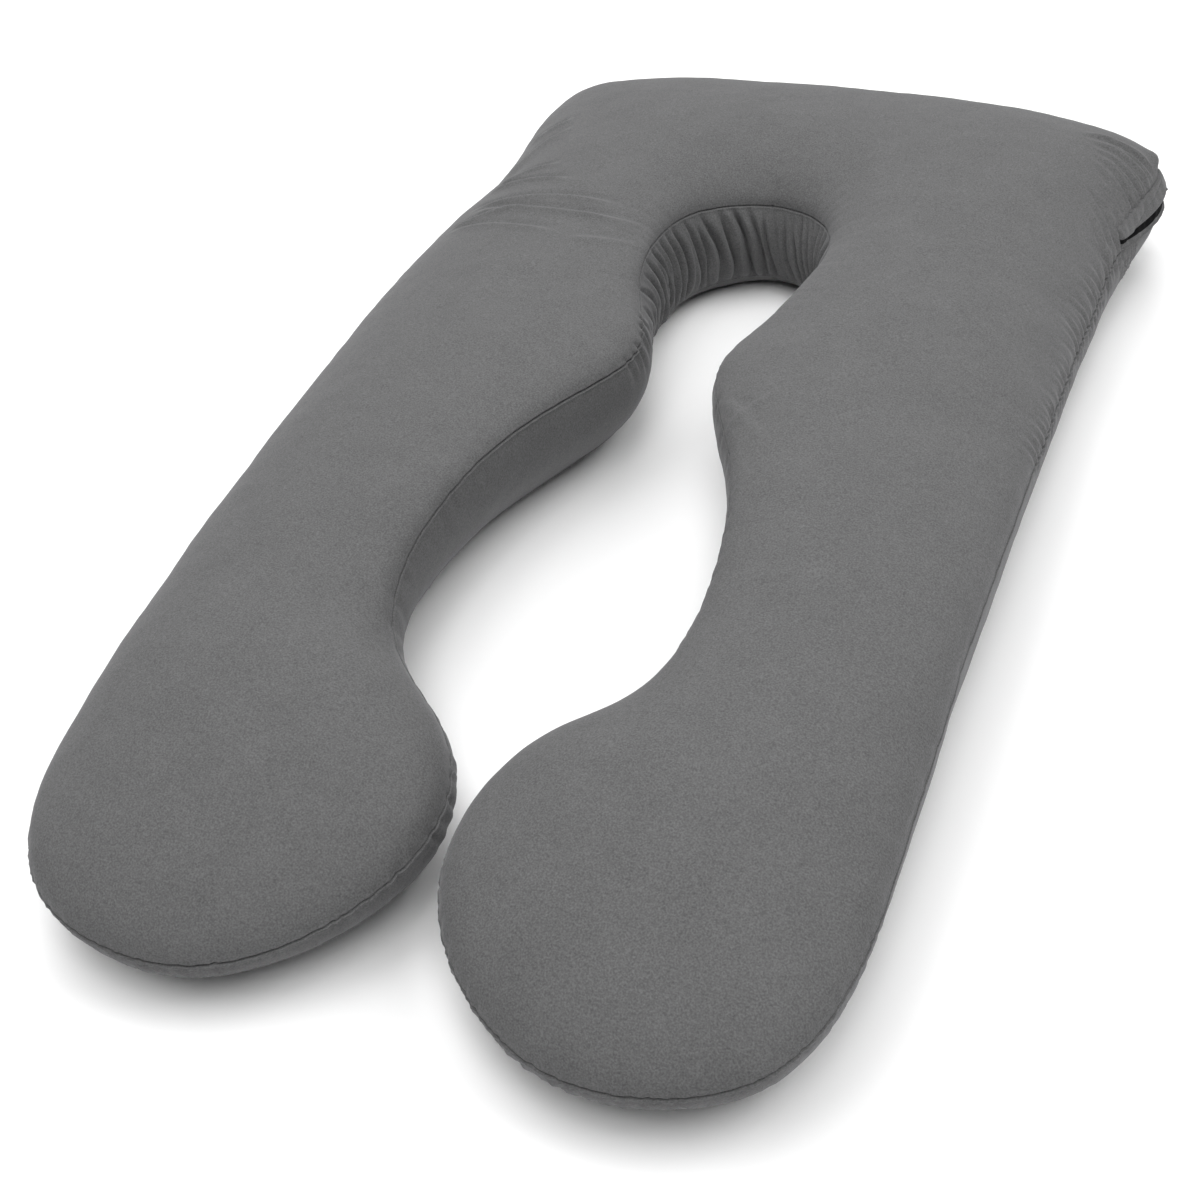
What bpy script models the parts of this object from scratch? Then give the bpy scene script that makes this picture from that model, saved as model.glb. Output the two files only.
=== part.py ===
"""U-shaped body pillow in a sewn cover, lying on its flat underside.

Metres, +Z up. The origin is on the floor under the middle of the pillow, the head
end points along +Y and the two feet along -Y. The pillow is one filled solid: a top
panel with its crown, a side strip that bulges between two sewn edges, and an
underside that rounds in to where it rests. The opening at the head corner has a
flap, a facing, a zip strip and a pull, each a piece of its own.
"""
import math
from collections import namedtuple

import bmesh
import bpy
import numpy as np
from mathutils import Matrix
from mathutils.geometry import delaunay_2d_cdt

# ---- driving dimensions -----------------------------------------------------
LENGTH = 1.370           # from the tips of the feet to the head's sewn edge
MIDDLE = (0.0243, 0.6845)   # of the whole, from the legs' middle line and the feet
THICKNESS = 0.184        # of a wide stretch, at the middle of its crown
FOOT_DROP = 0.040        # by which the tips of the feet are less full
FOOT_LENGTH = 0.30       # of a foot, over which that comes
CROWN_REACH = 0.25       # from the sewn edge to where a crown would be level
CROWN_FULL = 1.05        # how much sooner the crown comes up than that
BOTTOM_SEAM = 0.026      # height of the lower sewn edge
UNDER_REACH = 0.038      # from the lower sewn edge in to where the pillow rests
EDGE_STEP = 0.029        # between stations along a plain stretch of edge
NECK_STEP = 0.0056       # between stations along the gathered neck
CORNER_STEP = 0.0058     # between stations along the opening
PANEL_STEP = 0.034       # between points inside the top panel
POINT_GAP = 0.004        # least between two points of the top panel
GRID_MARGIN = 0.6        # from a grid's points to the rings, in the grid's steps
UNDER_STEP = 0.075       # between points inside the underside
NECK_REACH = 0.36        # of the gathers, each way from the middle of the neck
OPENING_REACH = 0.12     # of the close stations, each way from the opening's middle
UNDER_ROWS = (1.0, 0.45)  # rows of the underside, as shares of its reach
DENSE_STEP = 0.004       # between points of the curve that all is measured on
SEAM_RIDGE = 0.0016      # the sewn edge stands out from the cloth beside it
TOP_RINGS = (0.003, 0.010, 0.022, 0.038)          # insets of the rings on the top panel
SIDE_ROWS = (0.05, 0.13, 0.30, 0.47, 0.64, 0.82)  # rows of the side strip, downwards

# One row for each place along half of the sewn edge, from the head clockwise to
# the neck. x and y are from the tips of the feet, seam is the edge's height,
# bulge is how far the side strip swells, tuck how far its lower edge sits in.
Edge = namedtuple("Edge", "place x y seam bulge tuck")
EDGE = (
    Edge("head middle", 0.000, LENGTH, 0.135, 0.004, 0.012),
    Edge("head", 0.235, 1.367, 0.125, 0.004, 0.012),
    Edge("head corner", 0.405, 1.308, 0.112, 0.008, 0.012),
    Edge("upper side", 0.402, 1.212, 0.100, 0.010, 0.010),
    Edge("shoulder side", 0.382, 1.020, 0.090, 0.007, 0.012),
    Edge("waist side", 0.374, 0.765, 0.105, 0.004, 0.014),
    Edge("leg side", 0.366, 0.480, 0.115, 0.002, 0.014),
    Edge("foot side", 0.360, 0.220, 0.098, 0.002, 0.016),
    Edge("foot corner", 0.316, 0.042, 0.080, 0.003, 0.025),
    Edge("foot tip", 0.164, 0.000, 0.067, 0.004, 0.022),
    Edge("toe", 0.053, 0.066, 0.078, 0.004, 0.030),
    Edge("foot inner side", 0.0145, 0.160, 0.088, 0.008, 0.032),
    Edge("heel", 0.043, 0.268, 0.092, 0.012, 0.038),
    Edge("calf", 0.123, 0.345, 0.122, 0.014, 0.040),
    Edge("belly", 0.114, 0.597, 0.148, 0.014, 0.040),
    Edge("chest", 0.047, 0.773, 0.136, 0.014, 0.034),
    Edge("neck mouth", 0.072, 0.862, 0.139, 0.015, 0.018),
    Edge("lower neck", 0.092, 0.933, 0.144, 0.014, 0.008),
    Edge("neck side", 0.096, 1.000, 0.137, 0.013, 0.002),
    Edge("upper neck", 0.076, 1.068, 0.129, 0.013, 0.000),
    Edge("neck middle", 0.000, 1.115, 0.120, 0.013, 0.000),
)
# The left head corner is drawn in, so its places have rows of their own.
LEFT_HEAD = (
    Edge("head", -0.205, 1.368, 0.126, 0.004, 0.012),
    Edge("head corner", -0.322, 1.323, 0.114, 0.005, 0.012),
    Edge("upper side", -0.346, 1.205, 0.106, 0.006, 0.012),
    Edge("pinch", -0.345, 1.095, 0.100, 0.006, 0.012),
    Edge("shoulder side", -0.368, 1.000, 0.094, 0.005, 0.012),
)
# So has the inner side of the left foot, which comes closer to the middle.
LEFT_FOOT = Edge("foot inner side", -0.008, 0.166, 0.088, 0.008, 0.032)


def full_edge():
    """Rows for the whole edge as an array, clockwise from the middle of the head."""
    right = [row[1:] for row in EDGE]
    own = {row.place for row in LEFT_HEAD}
    left = [row for row in EDGE[1:-1] if row.place not in own]
    mirrored = [(-row.x,) + row[2:] for row in reversed(left)]
    mirrored[[row.place for row in reversed(left)].index(LEFT_FOOT.place)] = LEFT_FOOT[1:]
    rows = np.array(right + mirrored + [row[1:] for row in reversed(LEFT_HEAD)])
    rows[:, :2] -= MIDDLE
    return rows


def closed_spline(rows, step):
    """Smooth closed curve through the rows: its points and the rows' places on it."""
    count = len(rows)
    chord = np.linalg.norm(np.roll(rows, -1, 0)[:, :2] - rows[:, :2], axis=1)
    span = np.sqrt(chord)
    before = np.roll(span, 1)
    rise = (np.roll(rows, -1, 0) - rows) / span[:, None]
    system = np.zeros((count, count))
    for i in range(count):
        system[i, i - 1] = span[i]
        system[i, i] = 2 * (before[i] + span[i])
        system[i, (i + 1) % count] = before[i]
    target = 3 * (span[:, None] * np.roll(rise, 1, 0) + before[:, None] * rise)
    slope = np.linalg.solve(system, target)
    points = []
    starts = []
    for i in range(count):
        j = (i + 1) % count
        pieces = max(2, round(chord[i] / step))
        t = np.arange(pieces)[:, None] / pieces
        a = 2 * t ** 3 - 3 * t ** 2 + 1
        b = (t ** 3 - 2 * t ** 2 + t) * span[i]
        c = 3 * t ** 2 - 2 * t ** 3
        d = (t ** 3 - t ** 2) * span[i]
        starts.append(sum(len(p) for p in points))
        points.append(a * rows[i] + b * slope[i] + c * rows[j] + d * slope[j])
    return np.vstack(points), starts


class SewnEdge:
    """The closed sewn edge, measured along its length."""

    def __init__(self):
        self.points, starts = closed_spline(full_edge(), DENSE_STEP)
        after = np.roll(self.points, -1, 0)
        self.steps = np.linalg.norm(after[:, :2] - self.points[:, :2], axis=1)
        self.along = np.concatenate([[0], np.cumsum(self.steps)])
        self.total = self.along[-1]
        self.places = {row.place: self.along[starts[i]] for i, row in enumerate(EDGE)}

    def at(self, s):
        """Row values at distances s along the edge."""
        s = np.mod(s, self.total)
        closed = np.vstack([self.points, self.points[:1]])
        return np.stack([np.interp(s, self.along, closed[:, k]) for k in range(5)], axis=-1)

    def outward(self, s):
        """Horizontal direction out of the pillow at distances s."""
        way = self.at(s + DENSE_STEP)[..., :2] - self.at(s - DENSE_STEP)[..., :2]
        way /= np.linalg.norm(way, axis=-1, keepdims=True)
        return np.stack([-way[..., 1], way[..., 0]], axis=-1)

    def stations(self):
        """Distances of the stations, closer where the edge is gathered or opens."""
        s = self.along[:-1]
        neck = abs(s - self.places["neck middle"]) < NECK_REACH
        near = abs(s - self.places["upper side"]) < OPENING_REACH
        step = np.where(neck, NECK_STEP, np.where(near, CORNER_STEP, EDGE_STEP))
        index = np.concatenate([[0], np.cumsum(self.steps / step)])
        wanted = np.arange(round(index[-1])) * index[-1] / round(index[-1])
        return np.interp(wanted, index, self.along)


# ---- gathers and creases ----------------------------------------------------
# One row for each gather of the neck strip. at is its distance from the middle of
# the neck at the sewn edge, positive on the left, lean how far it drifts on its way
# down, and first the share of the way down at which it starts.
Gather = namedtuple("Gather", "at lean depth width first")
GATHERS = (
    Gather(-0.300, 0.040, 0.0030, 0.0040, 0.00),
    Gather(-0.270, 0.045, 0.0036, 0.0042, 0.00),
    Gather(-0.238, 0.040, 0.0034, 0.0040, 0.05),
    Gather(-0.205, 0.030, 0.0040, 0.0044, 0.00),
    Gather(-0.176, 0.022, 0.0034, 0.0040, 0.10),
    Gather(-0.150, 0.014, 0.0040, 0.0044, 0.00),
    Gather(-0.126, 0.004, 0.0034, 0.0038, 0.00),
    Gather(-0.106, -0.004, 0.0036, 0.0034, 0.00),
    Gather(-0.090, -0.018, 0.0030, 0.0030, 0.00),
    Gather(-0.078, -0.022, 0.0028, 0.0030, 0.00),
    Gather(-0.065, -0.030, 0.0036, 0.0034, 0.00),
    Gather(-0.052, -0.030, 0.0030, 0.0032, 0.00),
    Gather(-0.041, -0.026, 0.0040, 0.0036, 0.00),
    Gather(-0.026, -0.026, 0.0050, 0.0036, 0.24),
    Gather(-0.015, -0.016, 0.0030, 0.0030, 0.06),
    Gather(0.014, -0.017, 0.0034, 0.0034, 0.12),
    Gather(0.028, -0.021, 0.0042, 0.0040, 0.02),
    Gather(0.047, -0.022, 0.0066, 0.0042, 0.02),
    Gather(0.066, -0.019, 0.0046, 0.0042, 0.00),
    Gather(0.088, -0.024, 0.0050, 0.0044, 0.00),
    Gather(0.103, -0.018, 0.0034, 0.0034, 0.10),
    Gather(0.116, -0.021, 0.0044, 0.0038, 0.02),
    Gather(0.136, -0.013, 0.0062, 0.0042, 0.00),
    Gather(0.153, -0.012, 0.0044, 0.0036, 0.00),
    Gather(0.174, -0.018, 0.0054, 0.0040, 0.00),
    Gather(0.186, -0.022, 0.0030, 0.0028, 0.00),
    Gather(0.199, -0.028, 0.0046, 0.0036, 0.00),
    Gather(0.213, -0.032, 0.0034, 0.0028, 0.00),
    Gather(0.226, -0.036, 0.0046, 0.0034, 0.00),
    Gather(0.237, -0.040, 0.0030, 0.0026, 0.00),
    Gather(0.248, -0.045, 0.0042, 0.0032, 0.00),
    Gather(0.262, -0.052, 0.0036, 0.0030, 0.00),
    Gather(0.276, -0.058, 0.0040, 0.0032, 0.00),
    Gather(0.292, -0.060, 0.0034, 0.0030, 0.00),
    Gather(0.308, -0.060, 0.0036, 0.0032, 0.00),
    Gather(0.324, -0.050, 0.0030, 0.0030, 0.00),
)
GATHER_LEAST = 0.0042    # width that the stations of the neck still hold
GATHER_RISE = 0.30       # share of the way down over which a gather deepens
GATHER_END = 0.10        # and over which it ends at the lower sewn edge

# One row for each crease of the top panel: a ridge from start to end that bows to
# its left by bow, with a trough along its right side.
Crease = namedtuple("Crease", "x0 y0 x1 y1 bow rise width")
CREASES = (
    # fan at the right head corner, from the panel towards the opening
    Crease(0.318, 1.282, 0.408, 1.272, 0.002, 0.0030, 0.0036),
    Crease(0.330, 1.270, 0.408, 1.246, 0.002, 0.0032, 0.0036),
    Crease(0.336, 1.256, 0.410, 1.226, 0.002, 0.0026, 0.0030),
    Crease(0.342, 1.244, 0.402, 1.201, 0.003, 0.0034, 0.0034),
    Crease(0.346, 1.230, 0.394, 1.172, 0.003, 0.0032, 0.0030),
    Crease(0.352, 1.206, 0.391, 1.156, 0.002, 0.0030, 0.0028),
    Crease(0.348, 1.182, 0.388, 1.140, 0.002, 0.0028, 0.0026),
    Crease(0.352, 1.146, 0.384, 1.097, 0.002, 0.0022, 0.0024),
    # ridges that run in from the pinched left side of the head
    Crease(-0.275, 1.205, -0.328, 1.168, 0.003, 0.0030, 0.0045),
    Crease(-0.262, 1.185, -0.320, 1.066, -0.010, 0.0036, 0.0046),
    Crease(-0.240, 1.082, -0.322, 1.038, -0.006, 0.0034, 0.0042),
    Crease(-0.210, 1.041, -0.326, 1.034, -0.003, 0.0034, 0.0046),
    Crease(-0.130, 1.006, -0.334, 0.982, -0.006, 0.0030, 0.0050),
    Crease(-0.100, 0.984, -0.325, 0.976, 0.008, 0.0036, 0.0055),
    Crease(-0.235, 0.974, -0.340, 0.944, -0.003, 0.0032, 0.0046),
    Crease(-0.180, 0.928, -0.340, 0.936, -0.002, 0.0026, 0.0050),
    Crease(-0.095, 0.945, -0.180, 0.920, -0.002, 0.0014, 0.0055),
    # inner side of the right leg
    Crease(0.135, 0.630, 0.070, 0.705, -0.003, 0.0016, 0.0050),
    Crease(0.135, 0.712, 0.090, 0.655, -0.003, 0.0014, 0.0050),
)
CREASE_IN = 0.35         # share of its length over which a crease rises
CREASE_OUT = 0.12        # and over which it ends
TROUGH_AWAY = 1.8        # trough's distance from the ridge, in widths
TROUGH_DEPTH = 0.8       # trough's depth, as a share of the rise
CREASE_STEP = 0.013      # between points along a crease
CREASE_LINES = (1.6, 0.0, -1.8, -3.4)   # lines of points along a crease, in widths


def gather_depth(from_middle, down):
    """How far the side strip is drawn in at a distance along and a share down."""
    swing = math.sin(down * math.pi / 2)
    end = smooth((1 - down) / GATHER_END)
    total = 0.0
    for row in GATHERS:
        off = from_middle - row.at - row.lean * swing
        width = max(row.width, GATHER_LEAST)
        fade = smooth((down - row.first) / GATHER_RISE)
        total += row.depth * math.exp(-(off / width) ** 2) * fade
    return total * end


def crease_line(row):
    """Start, direction, direction to the left and length of a crease."""
    start = np.array([row.x0, row.y0]) - MIDDLE
    way = np.array([row.x1, row.y1]) - MIDDLE - start
    length = np.linalg.norm(way)
    way /= length
    return start, way, np.array([-way[1], way[0]]), length


def crease_rise(points):
    """Height added to the top panel by its creases."""
    total = np.zeros(len(points))
    for row in CREASES:
        start, way, left, length = crease_line(row)
        t = (points - start) @ way / length
        inside = np.clip(t, 0, 1)
        off = (points - start) @ left - 4 * row.bow * inside * (1 - inside)
        fade = smooth(np.minimum(t / CREASE_IN, (1 - t) / CREASE_OUT))
        ridge = np.exp(-(off / row.width) ** 2)
        trough = np.exp(-((off + TROUGH_AWAY * row.width) / row.width) ** 2)
        total += row.rise * fade * (ridge - TROUGH_DEPTH * trough)
    return total


def crease_points():
    """Plan points in lines along each crease."""
    found = []
    for row in CREASES:
        start, way, left, length = crease_line(row)
        count = max(2, round(length / CREASE_STEP))
        for i in range(1, count):
            t = i / count
            for line in CREASE_LINES:
                off = line * row.width + 4 * row.bow * t * (1 - t)
                found.append(start + way * length * t + left * off)
    return np.array(found)


# ---- the filled form --------------------------------------------------------
def smooth(t):
    t = np.clip(t, 0, 1)
    return t * t * (3 - 2 * t)


def fullness(y):
    """Thickness at the middle of a crown, at plan distances y."""
    return THICKNESS - FOOT_DROP * smooth(1 - (y + MIDDLE[1]) / FOOT_LENGTH)


def crown(points, edge):
    """Height of the top panel. The weights of the edge fall with the cube of distance."""
    middle = (edge.points[:, :2] + np.roll(edge.points[:, :2], -1, 0)) / 2
    height = np.empty(len(points))
    for i, point in enumerate(points):
        gap = np.linalg.norm(middle - point, axis=1)
        weight = edge.steps / np.maximum(gap, DENSE_STEP) ** 3
        reach = math.sqrt(2 / weight.sum())
        seam = (weight * edge.points[:, 2]).sum() / weight.sum()
        share = min(reach * CROWN_FULL / CROWN_REACH, 1)
        rise = (fullness(point[1]) - seam) * math.sqrt(1 - (1 - share) ** 2)
        height[i] = seam + rise
    return height + crease_rise(points)


def side_point(edge, s, down):
    """Point of the side strip at distance s, a share of the way down."""
    x, y, seam, bulge, tuck = edge.at(s)
    from_middle = (s - edge.places["neck middle"] + edge.total / 2) % edge.total - edge.total / 2
    out = 4 * bulge * down * (1 - down) - tuck * down ** 1.5
    if down in (0.0, 1.0):
        out += SEAM_RIDGE
    if abs(from_middle) < NECK_REACH:
        out -= gather_depth(from_middle, down)
    z = seam + (BOTTOM_SEAM - seam) * down
    way = edge.outward(s)
    return (x + way[0] * out, y + way[1] * out, z)


def inset_ring(edge, stations, inset):
    """Plan points of the edge moved into the pillow."""
    return edge.at(stations)[:, :2] - edge.outward(stations) * inset


def pillow_rings(edge, stations):
    """Rings of the solid from where it rests, up its side and onto its top."""
    rings = []
    rows = edge.at(stations)
    way = edge.outward(stations)
    for share in UNDER_ROWS:
        inset = rows[:, 4] + UNDER_REACH * share
        plan = rows[:, :2] - way * inset[:, None]
        z = BOTTOM_SEAM * (1 - share) ** 2
        rings.append([(p[0], p[1], z) for p in plan])
    for down in (1.0,) + SIDE_ROWS[::-1] + (0.0,):
        rings.append([side_point(edge, s, down) for s in stations])
    for inset in TOP_RINGS:
        plan = inset_ring(edge, stations, inset)
        height = crown(plan, edge)
        rings.append([(p[0], p[1], z) for p, z in zip(plan, height)])
    return rings


def is_inside(point, outline, margin):
    """Whether a plan point lies inside a closed outline, by more than a margin."""
    after = np.roll(outline, -1, 0)
    crosses = (outline[:, 1] > point[1]) != (after[:, 1] > point[1])
    a = outline[crosses]
    b = after[crosses]
    meets = a[:, 0] + (point[1] - a[:, 1]) / (b[:, 1] - a[:, 1]) * (b[:, 0] - a[:, 0])
    if (meets > point[0]).sum() % 2 == 0:
        return False
    return np.linalg.norm(outline - point, axis=1).min() > margin


def points_inside(outline, step, margin):
    """Plan points on a staggered grid inside a closed outline."""
    low = outline.min(0)
    high = outline.max(0)
    found = []
    row_step = step * math.sqrt(3) / 2
    for j in range(int((high[1] - low[1]) / row_step) + 1):
        for i in range(int((high[0] - low[0]) / step) + 2):
            point = low + ((i + 0.5 * (j % 2)) * step, j * row_step)
            if is_inside(point, outline, margin):
                found.append(point)
    return np.array(found)


def panel_points(outline):
    """Plan points inside the top panel: lines along its creases, a grid elsewhere."""
    chosen = []
    for point in crease_points():
        if not is_inside(point, outline, POINT_GAP):
            continue
        if not chosen or np.linalg.norm(np.array(chosen) - point, axis=1).min() > POINT_GAP:
            chosen.append(point)
    chosen = np.array(chosen)
    for point in points_inside(outline, PANEL_STEP, GRID_MARGIN * PANEL_STEP):
        if np.linalg.norm(chosen - point, axis=1).min() > GRID_MARGIN * PANEL_STEP:
            chosen = np.vstack([chosen, point])
    return chosen


def fill(mesh, ring, extra, height):
    """Close a ring with triangles through the extra plan points."""
    plan = [(v.co.x, v.co.y) for v in ring] + [tuple(p) for p in extra]
    count = len(ring)
    border = [(i, (i + 1) % count) for i in range(count)]
    inside_only = 1
    _, _, faces, origins, _, _ = delaunay_2d_cdt(plan, border, [], inside_only, 1e-6)
    added = [mesh.verts.new((p[0], p[1], z)) for p, z in zip(extra, height)]
    corners = list(ring) + added
    for face in faces:
        mesh.faces.new([corners[origins[i][0]] for i in face])


def make_pillow(edge, rings):
    mesh = bmesh.new()
    placed = [[mesh.verts.new(point) for point in ring] for ring in rings]
    count = len(placed[0])
    for low, high in zip(placed, placed[1:]):
        for i in range(count):
            j = (i + 1) % count
            mesh.faces.new((low[i], low[j], high[j], high[i]))
    inner_edge = np.array([v.co[:2] for v in placed[-1]])
    inner = panel_points(inner_edge)
    fill(mesh, placed[-1], inner, crown(inner, edge))
    rest_edge = np.array([v.co[:2] for v in placed[0]])
    under = points_inside(rest_edge, UNDER_STEP, GRID_MARGIN * UNDER_STEP)
    fill(mesh, placed[0], under, np.zeros(len(under)))
    return finish_mesh("pillow", mesh, make_material("velvet", VELVET, VELVET_ROUGHNESS))


# ---- the opening at the head corner -----------------------------------------
# One row for each strip that lies over the side of the pillow. upper and lower are
# the distances of its borders above the upper sewn edge, at its end towards the
# feet, its middle and its end round the corner. lift is how far it stands off the
# pillow, flare how much more at its lower border.
Strip = namedtuple("Strip", "node upper lower lift flare thick")
STRIPS = (
    Strip("opening_flap", (0.0262, 0.0127, 0.0020), (0.0125, -0.0117, -0.0225),
          0.0004, 0.0050, 0.0022),
    Strip("zip_strip", (0.0115, -0.0125, -0.0235), (0.0092, -0.0170, -0.0290),
          0.0005, 0.0004, 0.0010),
    Strip("opening_facing", (0.0086, -0.0180, -0.0310), (-0.0025, -0.0245, -0.0390),
          0.0005, 0.0008, 0.0016),
)
OPENING_BEFORE = 0.096   # from the upper side's place round to the head corner
OPENING_AFTER = 0.068    # from the upper side's place towards the feet
STRIP_ROWS = 6           # across a strip
SPAN = 0.004             # over which the slope of the pillow is taken
SPAN_STATIONS = 2
SEAM_RING = len(UNDER_ROWS) + len(SIDE_ROWS) + 1


def on_pillow(rings, station, distance):
    """Point at a distance above the upper sewn edge, on the line of a station."""
    line = np.array([ring[station] for ring in rings])
    steps = np.linalg.norm(np.diff(line, axis=0), axis=1)
    along = np.concatenate([[0], np.cumsum(steps)])
    along -= along[SEAM_RING]
    return np.array([np.interp(distance, along, line[:, k]) for k in range(3)])


def way_out(rings, station, distance):
    """Direction straight out of the pillow's surface at a distance."""
    above = on_pillow(rings, station, distance + SPAN)
    below = on_pillow(rings, station, distance - SPAN)
    after = on_pillow(rings, station + SPAN_STATIONS, distance)
    before = on_pillow(rings, station - SPAN_STATIONS, distance)
    out = np.cross(above - below, after - before)
    out /= np.linalg.norm(out)
    return out


def opening_stations(edge, stations):
    middle = edge.places["upper side"]
    return [i for i, s in enumerate(stations)
            if middle - OPENING_BEFORE <= s <= middle + OPENING_AFTER]


def border(values, share):
    """Smooth curve through a strip's three values."""
    first, middle, last = values
    bow = 2 * (first + last - 2 * middle)
    return first + (last - first) * share + bow * share * (share - 1)


def make_strip(row, rings, chosen, material):
    """Closed solid of a strip that follows the pillow's surface a little off it."""
    mesh = bmesh.new()
    inner = []
    outer = []
    for k, station in enumerate(chosen):
        share = 1 - k / (len(chosen) - 1)
        upper = border(row.upper, share)
        lower = border(row.lower, share)
        near_line = []
        far_line = []
        for j in range(STRIP_ROWS + 1):
            across = j / STRIP_ROWS
            distance = upper + (lower - upper) * across
            point = on_pillow(rings, station, distance)
            out = way_out(rings, station, distance)
            lift = row.lift + row.flare * across
            near_line.append(mesh.verts.new(point + out * lift))
            far_line.append(mesh.verts.new(point + out * (lift + row.thick)))
        inner.append(near_line)
        outer.append(far_line)
    last = len(chosen) - 1
    for k in range(last):
        for j in range(STRIP_ROWS):
            mesh.faces.new((inner[k][j], inner[k][j + 1], inner[k + 1][j + 1], inner[k + 1][j]))
            mesh.faces.new((outer[k][j], outer[k + 1][j], outer[k + 1][j + 1], outer[k][j + 1]))
        for j in (0, STRIP_ROWS):
            mesh.faces.new((inner[k][j], inner[k + 1][j], outer[k + 1][j], outer[k][j]))
    for k in (0, last):
        for j in range(STRIP_ROWS):
            mesh.faces.new((inner[k][j], inner[k][j + 1], outer[k][j + 1], outer[k][j]))
    return finish_mesh(row.node, mesh, material)


# ---- the zip's pull -----------------------------------------------------------
PULL_LENGTH = 0.0085
PULL_WIDTH = 0.0050
PULL_THICKNESS = 0.0024
PULL_LIFT = 0.0023                # off the pillow's surface, over the zip's strip
PULL_BEFORE = 0.0860              # from the upper side's place towards the head
PULL_HEIGHT = -0.0260             # above the upper sewn edge
PULL_ROUND = 0.0007
PULL_ROUND_STEPS = 2


def make_pull(rings, edge, stations, material):
    """Small tab that stands out of the slit, between the flap and the facing."""
    wanted = edge.places["upper side"] - PULL_BEFORE
    station = int(np.argmin(abs(stations - wanted)))
    out = way_out(rings, station, PULL_HEIGHT)
    middle = on_pillow(rings, station, PULL_HEIGHT)
    across = on_pillow(rings, station, PULL_HEIGHT + SPAN) - middle
    across -= out * (across @ out)
    across /= np.linalg.norm(across)
    along = np.cross(across, out)
    middle = middle + out * (PULL_LIFT + PULL_LENGTH / 2)
    sides = (along * PULL_WIDTH, across * PULL_THICKNESS, out * PULL_LENGTH)
    turn = Matrix(sides).transposed().to_4x4()
    turn.translation = middle
    mesh = bmesh.new()
    bmesh.ops.create_cube(mesh, size=1, matrix=turn)
    bmesh.ops.bevel(mesh, geom=list(mesh.edges), offset=PULL_ROUND,
                    segments=PULL_ROUND_STEPS, affect="EDGES")
    return finish_mesh("zip_pull", mesh, material)


# ---- objects ----------------------------------------------------------------
VELVET = (0.155, 0.155, 0.157)
VELVET_HEM = (0.150, 0.150, 0.152)
ZIP_TAPE = (0.020, 0.020, 0.021)
PULL_BLACK = (0.015, 0.015, 0.016)
VELVET_ROUGHNESS = 0.9
TAPE_ROUGHNESS = 0.7
PULL_ROUGHNESS = 0.45
PULL_METALLIC = 0.6
SHARP_FROM = 35          # degrees between faces that are shaded apart


def make_material(name, color, roughness, metallic=0.0):
    material = bpy.data.materials.new(name)
    material.use_nodes = True
    shader = material.node_tree.nodes["Principled BSDF"]
    shader.inputs["Base Color"].default_value = (*color, 1)
    shader.inputs["Roughness"].default_value = roughness
    shader.inputs["Metallic"].default_value = metallic
    return material


def finish_mesh(name, mesh, material):
    """Object from a bmesh, in triangles, shaded smooth but for its sharp edges."""
    bmesh.ops.recalc_face_normals(mesh, faces=mesh.faces)
    bmesh.ops.triangulate(mesh, faces=[f for f in mesh.faces if len(f.verts) > 3])
    data = bpy.data.meshes.new(name)
    mesh.to_mesh(data)
    mesh.free()
    data.shade_smooth()
    data.set_sharp_from_angle(angle=math.radians(SHARP_FROM))
    data.materials.append(material)
    made = bpy.data.objects.new(name, data)
    collection.objects.link(made)
    return made


def clear_scene():
    for item in list(bpy.data.objects):
        bpy.data.objects.remove(item, do_unlink=True)


clear_scene()
collection = bpy.data.collections.new("body_pillow")
bpy.context.scene.collection.children.link(collection)
sewn_edge = SewnEdge()
edge_stations = sewn_edge.stations()
pillow_form = pillow_rings(sewn_edge, edge_stations)
make_pillow(sewn_edge, pillow_form)
opening = opening_stations(sewn_edge, edge_stations)
finishes = {
    "opening_flap": make_material("velvet_hem", VELVET_HEM, VELVET_ROUGHNESS),
    "zip_strip": make_material("zip_tape", ZIP_TAPE, TAPE_ROUGHNESS),
    "opening_facing": make_material("velvet_facing", VELVET_HEM, VELVET_ROUGHNESS),
}
for strip in STRIPS:
    make_strip(strip, pillow_form, opening, finishes[strip.node])
pull_finish = make_material("pull", PULL_BLACK, PULL_ROUGHNESS, PULL_METALLIC)
make_pull(pillow_form, sewn_edge, edge_stations, pull_finish)
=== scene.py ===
"""Looks of the U-shaped body pillow: fine panels, gathers, creases, seams and the opening."""
import math
from collections import namedtuple

import bpy
import numpy as np
from mathutils import Matrix, Vector, noise
from mathutils.geometry import delaunay_2d_cdt


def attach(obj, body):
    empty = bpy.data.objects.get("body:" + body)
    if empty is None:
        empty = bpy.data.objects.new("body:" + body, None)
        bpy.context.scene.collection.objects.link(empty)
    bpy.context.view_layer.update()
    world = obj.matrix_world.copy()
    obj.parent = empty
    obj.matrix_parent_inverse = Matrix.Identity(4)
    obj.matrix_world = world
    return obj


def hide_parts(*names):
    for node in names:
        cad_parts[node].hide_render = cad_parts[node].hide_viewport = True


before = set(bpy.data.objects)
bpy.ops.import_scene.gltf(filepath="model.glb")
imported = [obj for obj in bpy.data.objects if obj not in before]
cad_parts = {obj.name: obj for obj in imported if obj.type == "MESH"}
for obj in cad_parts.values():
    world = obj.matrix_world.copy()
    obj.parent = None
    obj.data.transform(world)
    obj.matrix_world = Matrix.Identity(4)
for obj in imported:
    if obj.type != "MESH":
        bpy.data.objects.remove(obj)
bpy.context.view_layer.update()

# ---- the camera, as the photograph was taken --------------
PHOTO = 1200                 # width of the photograph's frame
FOCAL_PIXELS = 1731
SENSOR = 36.0
VIEW_AZIMUTH = 25.28
VIEW_ELEVATION = 42.51
VIEW_ROLL = -6.91
VIEW_DISTANCE = 1.720
VIEW_TARGET = (-0.0373, -0.1345, 0.0)


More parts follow.
